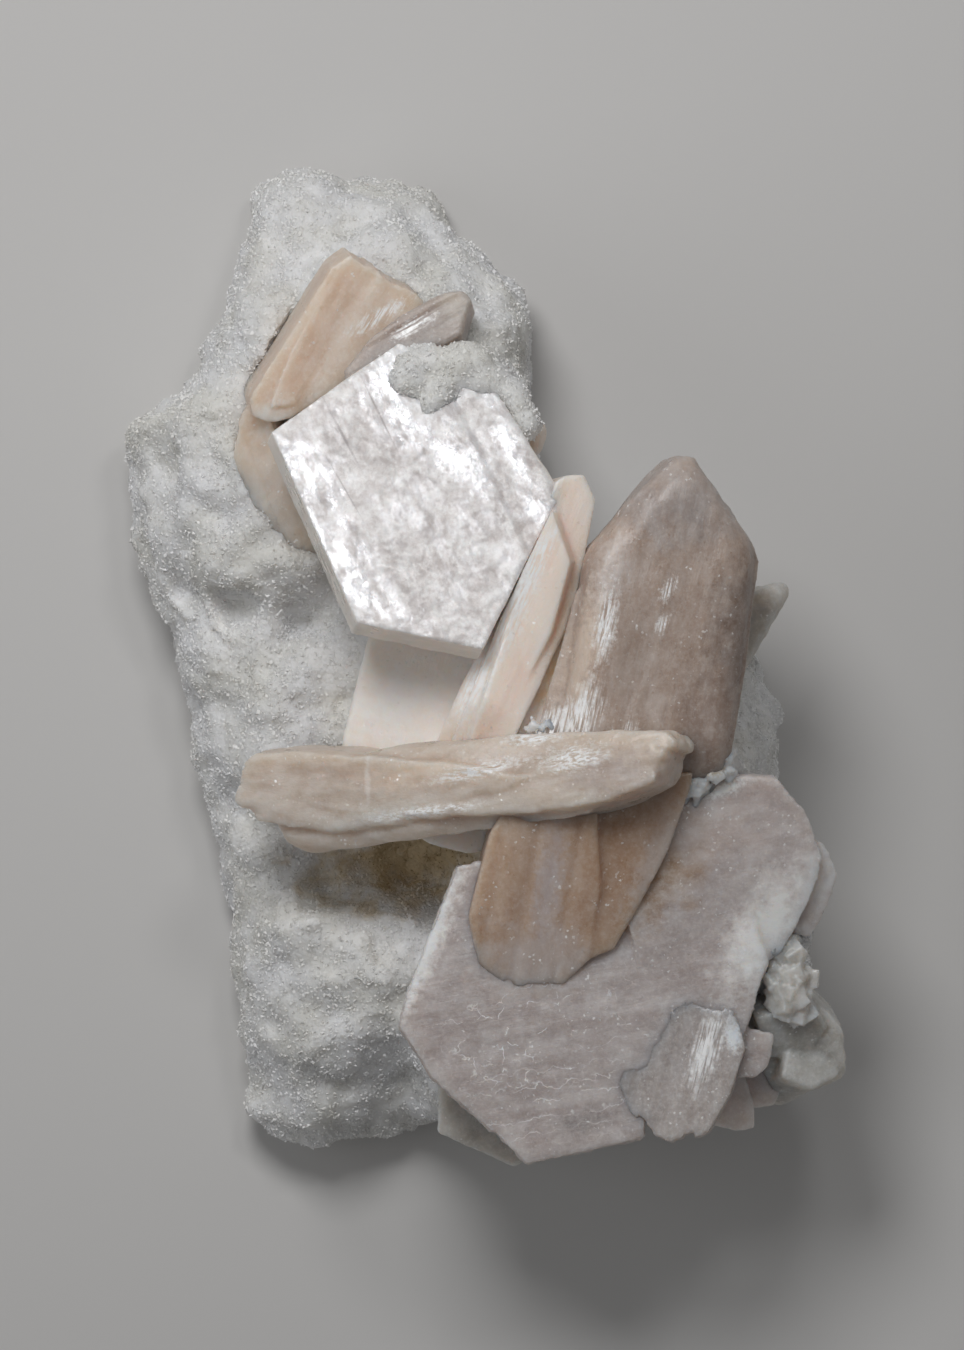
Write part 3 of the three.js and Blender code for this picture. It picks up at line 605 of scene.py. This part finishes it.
# The middle blades: slim pink laths side by side, their left sides split into fibres whose silvery shine is painted
# highlight. The broad blade behind them lies flat on the matrix, and a last one fills the notch beside the main sheaf.
LATHS = [
    ([(5.7, 15.3), (6.5, 15.8), (7.9, 15.9), (8.8, 13.9), (7.6, 7.6), (6.5, 3.1), (0.3, -9.6), (-2.6, -9.6),
      (2.4, 2.7), (5, 10.6)], (27.6, -3, -14), 7, 0.5, 0),
    ([(5.2, 12.6), (6.6, 8.6), (5, 2.6), (-1.3, -9.6), (-4.3, -9.6), (0.9, 3.6)], (28.6, 2, 10), 6, 0.2, 0.2),
    ([(1.2, 4.6), (2.2, 3), (-2.9, -9.6), (-5.8, -9.6), (-2.4, -1.8)], (26.4, 0, 24), 5, 0.3, 0.3),
]
BACK_BLADES = [
    ([(-9.2, 6.4), (2, 6.4), (1.6, -4), (-1.7, -9.8), (-12.3, -9.8), (-12.5, -6.6)], (21.4, 2, 8), 4),
    ([(-5.4, -11.2), (3, -10.6), (1.8, -14.6), (-1.7, -16), (-5.1, -15.2), (-7.6, -13.6)], (21.4, 2, 8), 4.5),
    ([(-11, -6), (1, -6), (1, -13), (-5.4, -13.5), (-9, -12)], (20.9, 2, 8), 4),
]
NOTCH_BLADE = ([(6, 6.3), (9.4, 6.4), (9.6, -3.1), (6, -9), (-0.4, -9), (3, -1.4)], (26.4, -5, 8), 6)

lath_slabs = []
for count, (outline, lean, thick, bevel, drop) in enumerate(LATHS):
    lath_slabs += strip_slabs(f"lath_{count}", outline, lean, thick, 66, STRAND_WIDTHS[count * 4:], 0.14, 0,
                              0.05, 20 + count, drop)
    lath_slabs.append(cut_slab(f"lath_core_{count}", outline, lean, thick, (), bevel, drop + 0.12))
laths = grown_together("middle_blade_laths", lath_slabs, 0.15, 5)
pressed_down(laths, -2.0, -9.6, 6.5, 3.4)
raise_relief(laths, 0.45, 0.08, 0.45, 9, 66)
# Painted highlights: the silvery fibres of the laths' left sides are painted near-white.
LATH_PAINTED_SILVER = [(1.9, 4.5, 6.5, 1.5, 66), (4.2, 9.0, 3.6, 0.9, 62), (-1.2, -1.5, 4.5, 1.2, 66)]
LATH_SPOTS = [
    ((-1.5, -3.5, 5.0, 1.4, 66), (0.96, 0.86, 0.80, 1), 0.8), ((6.6, 5.0, 9, 0.8, 73), (0.80, 0.60, 0.44, 1), 0.7)]
put_in_place(laths, "middle_blades", "peach",
             crystal_finish("pink_laths", 66, (0.95, 0.81, 0.73, 1), (0.92, 0.75, 0.66, 1), LATH_SPOTS, LATH_PAINTED_SILVER,
                            0.2, 0.15, depth=2))
back_slabs = [cut_slab(f"back_{i}", outline, lean, thick, (), 0.4)
              for i, (outline, lean, thick) in enumerate(BACK_BLADES)]
back_slabs += strip_slabs("notch", *NOTCH_BLADE, 60, STRAND_WIDTHS[2:], 0.3, 0.2, 0.12, 31)
back = grown_together("middle_blade_back", back_slabs, 0.2, 3)
raise_relief(back, 0.8, 0.2, 0.45)
BACK_SPOTS = [((5.5, 0, 6, 2.4, 60), (0.92, 0.66, 0.42, 1), 0.8), ((-8, -3, 5, 3, 70), (0.94, 0.92, 0.91, 1), 0.6)]
put_in_place(back, "middle_blades", "peach",
             crystal_finish("pink_back", 75, (0.96, 0.87, 0.82, 1), (0.94, 0.81, 0.74, 1), BACK_SPOTS, (), 0.5, 0.5,
                            depth=1.5))

# The main sheaf: a big translucent brownish-pink bundle of blades, smooth and rounded at its pale tip and split into
# fine strands below, with painted shade along its right side and painted glints. Its foot comes out under the crossing
# sheaf and sinks into the lower plate.
MAIN_CORE = [(8.4, 8.4), (8.8, 9.6), (10.4, 11.4), (12.8, 14.3), (14.1, 16.2), (16.2, 17.5), (17.6, 17.5), (18.4, 16.2),
             (22.1, 10.5), (22.5, 8.8), (21.4, 1.2), (20.4, -8.6), (15.2, -17.6), (9.6, -21.4), (8.6, -14.1), (6.6, -4)]
MAIN_PARTS = [
    ([(7.2, 6.4), (8.8, 8.4), (11.4, 9), (11.6, 0), (10.6, -9.5), (3.2, -9.5), (6, -1.4)], (30.4, -4, 9), 8, 76),
    ([(19.2, 14.4), (21.9, 10.8), (23, 7.7), (23, 6.5), (21.8, 1.8), (20.5, -7.3), (16.4, -12.6), (17.4, 2)],
     (28.6, -4, -24), 8, 80),
]
FOOT_PARTS = [
    ([(0.1, -14.7), (2.4, -10.4), (8.8, -10.4), (9.2, -20.5), (8.2, -25), (6.2, -27), (1.4, -27.2), (-0.8, -25.4),
      (-1.7, -21.6)], (28.7, 13, 1), 8.5, 80),
    ([(6, -9.4), (17.0, -9.4), (16.4, -12.5), (14.6, -16.5), (12.4, -20.6), (10.4, -24), (7.7, -25.2), (5.6, -25.2)],
     (28.6, 10, -4), 8, 72),
]

main_slabs = [cut_slab("main_core", MAIN_CORE, (30.9, -1, -6), 9.5, (), 2.1)]
main = grown_together("main_sheaf_body", main_slabs, 0.3, 60)
main_slabs = [main]
for count, (outline, lean, thick, angle) in enumerate(MAIN_PARTS):
    main_slabs += strip_slabs(f"main_{count}", outline, lean, thick, angle, STRAND_WIDTHS[4 + count:], 0.9, 0.8, 0.1,
                              40 + count)
main = grown_together("main_sheaf_body", main_slabs, 0.19, 9)
pressed_down(main, 14.5, -18, 12, 7)
raise_relief(main, 3.2, 0.7, 0.5, 10, 77)
raise_relief(main, 1.1, 0.14, 0.45, 5, 77)
raise_relief(main, 0.5, 0.05, 0.5, 4, 79)
# Tints of the sheaf; the second and third ovals, dark brown along its right side, are painted shade.
MAIN_TINTS_AND_SHADE = [
    ((16.2, 13.9, 7, 5, 0), (0.38, 0.33, 0.31, 1), 0.9), ((21.2, 1.5, 11, 3.6, 82), (0.20, 0.14, 0.11, 1), 0.85),
    ((18.0, -6, 7, 4, 70), (0.32, 0.24, 0.20, 1), 0.8), ((7.6, 0.3, 8, 1.9, 78), (0.72, 0.60, 0.50, 1), 0.7),
    ((10.2, 7.6, 4, 1.9, 78), (0.66, 0.62, 0.60, 1), 0.6), ((12.8, -15.5, 6, 4, 60), (0.44, 0.30, 0.21, 1), 0.8)]
# Painted glints and highlights: these ovals are painted near-white silvery streaks.
MAIN_PAINTED_GLINTS = [(9.8, 3.4, 4.2, 1.1, 80), (4.9, -5.6, 3.6, 1.7, 40), (15.1, 6.3, 1.5, 0.6, 62),
               (14.5, 3.3, 1.0, 0.6, 70), (7.6, -4.6, 4.0, 1.8, 66), (11.6, -6.4, 2.4, 0.8, 76)]
put_in_place(main, "crossed_sheaves", "peach",
             crystal_finish("brown_pink_sheaf", 77, (0.45, 0.355, 0.30, 1), (0.41, 0.315, 0.26, 1), MAIN_TINTS_AND_SHADE,
                            MAIN_PAINTED_GLINTS, 0.2, 0.15, 0.36))
foot_slabs = []
for count, (outline, lean, thick, angle) in enumerate(FOOT_PARTS):
    foot_slabs += strip_slabs(f"foot_{count}", outline, lean, thick, angle, STRAND_WIDTHS[count * 5:], 0.22, 0,
                              0.05, 50 + count)
foot = grown_together("main_sheaf_foot", foot_slabs, 0.17, 14)
pressed_down(foot, 4, -28.5, 7, 2.2)
pressed_down(foot, 11, -25, 7, 3)
raise_relief(foot, 1.0, 0.16, 0.45, 9, 80)
FOOT_SPOTS = [
    ((0.6, -18, 7, 1.8, 80), (0.56, 0.41, 0.30, 1), 0.8), ((4.9, -19, 7, 1.6, 82), (0.53, 0.475, 0.475, 1), 0.75),
    ((10.6, -16, 7, 2.6, 75), (0.40, 0.25, 0.16, 1), 0.85), ((3.6, -25.6, 7, 4.2, 0), (0.53, 0.46, 0.43, 1), 0.85),
    ((14.4, -16, 7, 1.8, 60), (0.50, 0.43, 0.40, 1), 0.7)]
put_in_place(foot, "crossed_sheaves", "peach",
             crystal_finish("peach_foot", 80, (0.49, 0.345, 0.25, 1), (0.44, 0.30, 0.215, 1), FOOT_SPOTS,
                            (), 0.15, 0.15, 0.36))

# The crossing sheaf: a bundle of peach rods that grew across the front of the main sheaf, rounded off at its left end,
# cracked across near there, and nearest the viewer at its right end.
ROD_BODIES = [
    ([(-13.4, -7.8), (-7.7, -7), (1.4, -6.2), (14, -5.8), (14.7, -6.5), (14, -9.7), (9.8, -11.5), (6, -12.4),
      (-4.2, -12.6), (-13.6, -12.2)], (31.2, -6, 21), 6, 1.2),
    ([(-21.3, -11.5), (-20.8, -9.2), (-19.3, -7.9), (-16.5, -7.5), (-4, -8.6), (3, -9.6), (-4.2, -13),
      (-13.6, -14.3), (-19.7, -13.3)], (25.9, 8, 21), 5, 0.9),
    ([(-18.6, -13), (-9.4, -11.4), (1.5, -11.2), (7, -12.7), (1.5, -13), (-4.2, -13.2), (-8, -14.4), (-10.4, -15.4),
      (-15.1, -16.3), (-17.3, -15.4)], (26.6, 19, 21), 4.5, 0.9),
]

rod_slabs = []
for count, (outline, lean, thick, bevel) in enumerate(ROD_BODIES):
    rod_slabs.append(cut_slab(f"rod_body_{count}", outline, lean, thick, (), bevel))
    rod_slabs += strip_slabs(f"rod_{count}", outline, lean, thick - 1, 6, STRAND_WIDTHS[3 + count:], 0.45, 0.9, 0.1,
                             60 + count, -0.15)
rods = grown_together("crossing_sheaf_rods", rod_slabs, 0.17, 9)
raise_relief(rods, 1.8, 0.6, 0.45, 6, 5)
raise_relief(rods, 0.7, 0.14, 0.45, 3, 8)
ROD_SPOTS = [
    ((-18.0, -11.5, 5, 3, 0), (0.72, 0.64, 0.57, 1), 0.7), ((-10, -13.2, 7, 1.4, 8), (0.80, 0.78, 0.73, 1), 0.5),
    ((-6, -9.5, 8, 1.6, 5), (0.78, 0.64, 0.52, 1), 0.6), ((10.5, -9.4, 5, 2.5, 10), (0.46, 0.37, 0.33, 1), 0.7),
    ((1, -7.5, 4, 1.2, 5), (0.84, 0.76, 0.70, 1), 0.6), ((-10.4, -10, 0.35, 2.2, 0), (0.90, 0.88, 0.86, 1), 0.5)]
# Painted highlights: silvery streaks painted near-white on the rods.
ROD_PAINTED_SILVER = [(7, -8, 3.4, 1.4, 10), (-1, -9, 5, 0.8, 12), (3.6, -6.2, 3, 0.8, 5), (-6, -12.6, 6, 0.6, 8)]
put_in_place(rods, "crossed_sheaves", "peach",
             crystal_finish("peach_rods", 5, (0.64, 0.55, 0.47, 1), (0.60, 0.50, 0.42, 1), ROD_SPOTS, ROD_PAINTED_SILVER, 0.25,
                            0.15, 0.34))

# The lower plate: a stack of frosted lavender-pink plates, the broad one in front with growth steps along its lower
# edge, a rounder one at its right, and a small striped one over both. Its left edge is rough and whiter.
PLATE_MAIN = [(-2.6, -17.3), (-0.3, -16.9), (12.8, -15.8), (20.6, -17.4), (23.4, -25.2), (21, -32.6), (12.8, -37.4),
              (0.2, -39.4), (-4.8, -34.9), (-7.5, -30.6), (-6.6, -27.4)]
PLATE_LEAN = (26.6, -2, -2)
STEP_LINE = Vector((0.985, 0.17))  # the growth steps run to the right and a little up
PLATE_PARTS = [
    ([(0, -30), (13.6, -29), (12.9, -40), (3.2, -42.2), (0.8, -39.7)], (26.75, -2, -2), 2.8),
    ([(10, -16), (15, -10.7), (21.3, -9.7), (24.3, -9.9), (26.9, -13.2), (28, -16.5), (27, -20), (24.6, -24.4),
      (18, -27), (12.8, -25.2)], (26.4, 5, -8), 3.4),
    ([(25.6, -13.6), (28.2, -15.4), (29.4, -17.9), (28.6, -20.5), (27, -23), (24.4, -22.4), (24.2, -17)],
     (23.9, 4, -12), 3),
    ([(20, -30.6), (23.9, -31.5), (23.5, -34), (22.5, -34.8), (19.8, -34.9)], (25.4, 0, -8), 3.4),
]
SMALL_PLATE = [(11.1, -35.4), (12.2, -37.8), (14.2, -39.5), (15.4, -40), (18.4, -39.4), (19, -37.7), (20.9, -35),
               (21.5, -32.5), (20.8, -29.8), (17, -28.6), (12.4, -31.1)]

plate_slabs = [cut_slab("plate", PLATE_MAIN, PLATE_LEAN, 3.6, (), 0.1, 0.2)]
for step, back_by in enumerate([1.3, 2.6, 3.5, 5.2, 8.0, 11.0]):
    below = Vector((4, -39.2)) + Vector((-STEP_LINE.y, STEP_LINE.x)) * back_by
    plate_slabs.append(cut_slab(f"plate_step_{step}", PLATE_MAIN, PLATE_LEAN, 2.5,
                                [(tuple(below), (STEP_LINE.y, -STEP_LINE.x))], 0, 0.1 - 0.07 * step))
for count, (outline, lean, thick) in enumerate(PLATE_PARTS):
    plate_slabs.append(cut_slab(f"plate_part_{count}", outline, lean, thick, (), 0.15))
plates = grown_together("lower_plate_stack", plate_slabs, 0.2, 1)
frayed_rim(plates, 1.8, 0.45)
frayed_rim(plates, 0.6, 0.3)
raise_relief(plates, 2.4, 0.16, 0.5)
raise_relief(plates, 0.7, 0.07, 0.5)
PLATE_SPOTS = [
    ((-5.4, -23.7, 9, 1.7, 67), (0.93, 0.92, 0.91, 1), 0.9), ((13.4, -17.6, 7, 5, 40), (0.40, 0.27, 0.18, 1), 1.0),
    ((3.6, -26.5, 6, 2.6, 0), (0.60, 0.50, 0.45, 1), 0.7), ((23.2, -22.6, 8, 3.2, 60), (0.90, 0.89, 0.87, 1), 0.8),
    ((8.1, -38.8, 3.6, 1.3, 10), (0.34, 0.30, 0.29, 1), 0.9),
    ((20.6, -31.5, 1.8, 0.9, 100), (0.97, 0.97, 0.97, 1), 0.9),
    ((19, -14, 6, 4, 0), (0.62, 0.53, 0.49, 1), 0.6), ((28, -18, 5, 2, 70), (0.72, 0.72, 0.72, 1), 0.7),
    ((19.8, -10.6, 2.2, 0.8, 20), (0.92, 0.91, 0.88, 1), 0.9)]
PLATE_VEINS = (3.5, -31.6, 10, 7, 20)
PLATE_STEPS = (5.5, -36.6, 12, 4.4, 10)


def plate_lines(tree, places):
    """The thin bright cracks, and the growth steps beside the lower edge, that are drawn on the plate's face."""
    moved = wavered(tree, places, 1.5 * MM, 3.0, 2.2 * MM)
    cells = add_node(tree, "ShaderNodeTexVoronoi", {"Vector": moved, "Scale": 1 / (3.2 * MM)},
                     feature="DISTANCE_TO_EDGE").outputs["Distance"]
    veins = times(tree, between(tree, cells, 0.004, 0.02, 1, 0), spot(tree, places, *PLATE_VEINS))
    veins = times(tree, veins, between(tree, clouds(tree, places, 1.1 * MM, 2), 0.48, 0.58, 0, 0.9))
    across = add_node(tree, "ShaderNodeSeparateXYZ", {0: along_grain(tree, moved, 9.8, 1, 1.3 * MM)}).outputs["Y"]
    part = add_node(tree, "ShaderNodeMath", {0: across}, operation="FRACT").outputs[0]  # of the way to the next step
    steps = times(tree, between(tree, part, 0, 0.12, 0.8, 0), spot(tree, places, *PLATE_STEPS))
    steps = times(tree, steps, between(tree, clouds(tree, places, 3 * MM, 3), 0.4, 0.5))
    return joined(tree, "MAXIMUM", veins, steps)


put_in_place(plates, "lower_plate", "rose",
             crystal_finish("frosted_lavender", 11, (0.49, 0.435, 0.42, 1), (0.46, 0.40, 0.385, 1), PLATE_SPOTS, (),
                            0.35, 0.25, 0.34, drawn=plate_lines))
small_slabs = strip_slabs("small_plate", SMALL_PLATE, (27.0, -4, 3), 3.2, 72, [1.1, 0.7, 0.9, 0.6, 0.8] * 4, 0.14, 0.3,
                          0.08, 71)
small = grown_together("lower_plate_small", small_slabs, 0.14, 2)
frayed_rim(small, 0.7, 0.25)
# The small plate's silvery streak, the list after its spot, is a painted highlight.
put_in_place(small, "lower_plate", "rose",
             crystal_finish("striped_lavender", 76, (0.43, 0.385, 0.365, 1), (0.39, 0.345, 0.33, 1),
                            PLATE_SPOTS[5:6], [(18.4, -32.6, 4.5, 1.6, 72)], 0.25, 0.3, 0.34))

# The small crystals round the lower corner and the two spurs: blunt blades, greenish grey or faintly pink, half
# buried in the matrix and standing out past its edge.
SMALL_CRYSTALS = [
    ("under_plate_tip", "under_plate", "pale",
     [([(-4.2, -33.8), (-4.3, -39.8), (-1.3, -41.1), (2, -42.6), (3.2, -41.9), (4.6, -36.2), (2, -33)],
       (20.8, 6, 5), 3.4)]),
    ("corner_blade_pair", "corner_blades", "rose",
     [([(18.6, -34), (21.4, -34.4), (22.4, -37.5), (22.4, -39.4), (21.2, -39.6), (18.8, -39)], (21.9, 10, -18), 3.2),
      ([(20.4, -32.5), (24.5, -35.4), (24.5, -36.6), (24.1, -37.5), (22.3, -37.7), (20.8, -37.1)],
       (20.4, 14, -6), 3.2)]),
    ("corner_wedge_block", "corner_wedge", "pale",
     [([(22.6, -30), (27.4, -28.6), (28.8, -30.7), (29.8, -31), (29.7, -32.4), (30.2, -34.3), (29.9, -35.2),
        (27.4, -36.3), (24.3, -36.3), (23.4, -34.8)], (21.0, 16, -8), 6.6),
      ([(22.8, -30.2), (27.3, -28.8), (28.6, -31), (26.6, -33.6), (23.6, -33.4)], (22.6, 30, -18), 7),
      ([(25.6, -31.4), (29.6, -31.4), (29.6, -34.9), (27.4, -36), (25, -35)], (21.4, -14, -24), 7)]),
    ("right_spur_blade", "right_spur", "pale",
     [([(18.6, 0.6), (19.6, 5.4), (23.1, 6.1), (24.2, 6.5), (24.8, 6), (24.7, 5.4), (23.5, 3.7), (22.1, 1.6),
        (21, -1)], (19.2, 8, 12), 3)]),
    ("edge_spur_blade", "edge_spur", "peach",
     [([(1.4, 20.6), (3.4, 20.3), (4.1, 20), (4.3, 19.6), (3.9, 18), (1.6, 16.6)], (20.2, 6, 8), 3.4)]),
]
SMALL_FINISHES = {
    "pale": crystal_finish("grey_green_blades", 20, (0.50, 0.49, 0.465, 1), (0.42, 0.41, 0.38, 1), (), (), 0.35, 0.3),
    "rose": crystal_finish("rose_blades", -40, (0.62, 0.56, 0.54, 1), (0.56, 0.50, 0.48, 1), (), (), 0.25, 0.3),
    "peach": crystal_finish("peach_spur", 40, (0.80, 0.70, 0.62, 1), (0.70, 0.58, 0.50, 1)),
}
for name, node, slot, blades in SMALL_CRYSTALS:
    slabs = [cut_slab(f"{name}_{i}", outline, lean, thick, (), 0.3) for i, (outline, lean, thick) in enumerate(blades)]
    crystal = grown_together(name, slabs, 0.16, 2)
    frayed_rim(crystal, 0.8, 0.25)
    raise_relief(crystal, 0.9, 0.12, 0.45)
    put_in_place(crystal, node, slot, SMALL_FINISHES[slot])

# The crumbs: little blocks of clear and white zeolite grown into one another in the seams, along the top edge of the
# lower plate, beside its right edge and where the sheaves cross.
CRUMBS = [  # from, to, spread, height in mm, how many, and the sizes of their sides
    ((14.8, -11.8), (20.4, -8.2), 0.9, 28.3, 80, (0.4, 1.3)), ((24.8, -23.4), (25.6, -29.4), 1.7, 24.3, 90, (0.8, 1.8)),
    ((0.0, -13.0), (-1.6, -13.6), 0.7, 28.0, 16, (0.3, 0.8)), ((3.4, -5.4), (7.4, -5.6), 0.8, 29.9, 22, (0.3, 0.9))]
CRUMB_DEPTH = 1.2  # mm that a crumb may sit lower than its row
BURIED_CRUMB = (24 * MM, -24 * MM, 23 * MM)
BURIED_SIDE = 1.5 * MM

chance = random.Random(91)
bpy.ops.object.select_all(action="DESELECT")
bpy.ops.mesh.primitive_cube_add(size=BURIED_SIDE, location=BURIED_CRUMB)
crumb_druse = bpy.context.view_layer.objects.active
bpy.ops.object.transform_apply(location=True)
bpy.ops.object.mode_set(mode="EDIT")
for start, end, spread, height, many, sizes in CRUMBS:
    for count in range(many):
        x, y = Vector(start).lerp(Vector(end), chance.random()) + Vector((chance.gauss(0, spread / 2),
                                                                        chance.gauss(0, spread / 2))) + ROW_SHIFT
        size = [chance.uniform(*sizes) * MM for side in range(3)]
        turn = [chance.uniform(0, math.tau) for side in range(3)]
        bpy.ops.mesh.primitive_cube_add(size=1, rotation=turn, scale=size,
                                        location=(x * MM, y * MM, (height - chance.uniform(0, CRUMB_DEPTH)) * MM))
bpy.ops.object.mode_set(mode="OBJECT")
crumb_druse = grown_together("lower_plate_crumbs", [crumb_druse], 0.14, 3)
CRUMB_SPOTS = [
    ((24.8, -26, 9, 5, 80), (0.50, 0.49, 0.46, 1), 0.9), ((18.9, -9.0, 1.0, 0.7, 0), (0.55, 0.36, 0.16, 1), 0.8)]
put_in_place(crumb_druse, "lower_plate", "matrix",
             crystal_finish("crumb_zeolite", 0, (0.82, 0.80, 0.78, 1), (0.74, 0.70, 0.67, 1), CRUMB_SPOTS, (), 0.3,
                            0.2, 0.3, 3))

# The stage: a plain pale floor, a soft overhead light towards the object's top end, and weak fill light from round it.
FLOOR_SIDE = 6
bpy.ops.object.select_all(action="DESELECT")
bpy.ops.mesh.primitive_plane_add(size=FLOOR_SIDE)
floor = bpy.context.view_layer.objects.active
floor.name = "floor"
floor_finish, tree, shader, places = new_finish("plain_floor")
shader.inputs["Base Color"].default_value = (0.62, 0.61, 0.60, 1)
shader.inputs["Roughness"].default_value = 0.9
floor.data.materials.append(floor_finish)


def soft_light(name, place, size, power, tint=(1, 1, 1)):
    lamp = bpy.data.lights.new(name, "AREA")
    lamp.shape = "DISK"
    lamp.size = size
    lamp.energy = power
    lamp.color = tint
    holder = bpy.data.objects.new(name, lamp)
    bpy.context.scene.collection.objects.link(holder)
    holder.location = place
    holder.rotation_euler = (Vector((0, 0, 0.015)) - Vector(place)).to_track_quat("-Z", "Y").to_euler()


soft_light("key", (-0.06, 0.16, 0.28), 0.12, 0.44)
soft_light("sheen", (0.072, 0.160, 0.320), 0.06, 0.10)
soft_light("fill_left", (-0.45, 0.0, 0.35), 0.4, 0.30, (0.96, 0.98, 1))
world = bpy.data.worlds.new("studio")
world.use_nodes = True
world.node_tree.nodes["Background"].inputs["Color"].default_value = (1, 1, 1, 1)
world.node_tree.nodes["Background"].inputs["Strength"].default_value = 0.15
bpy.context.scene.world = world

PICTURE = (964, 1350)  # pixels
PIXEL = 0.085 * MM  # on a crystal's face
FACE_HEIGHT = 22 * MM
CAMERA_HEIGHT = 1600 * MM
VIEW_CENTRE = (-0.33 * MM, -0.85 * MM)
lens = bpy.data.cameras.new("camera")
lens.sensor_width = 36
lens.lens = lens.sensor_width * CAMERA_HEIGHT / (PICTURE[1] * PIXEL)
camera = bpy.data.objects.new("camera", lens)
bpy.context.scene.collection.objects.link(camera)
camera.location = (*VIEW_CENTRE, FACE_HEIGHT + CAMERA_HEIGHT)
bpy.context.scene.camera = camera
bpy.context.scene.view_settings.view_transform = "Standard"
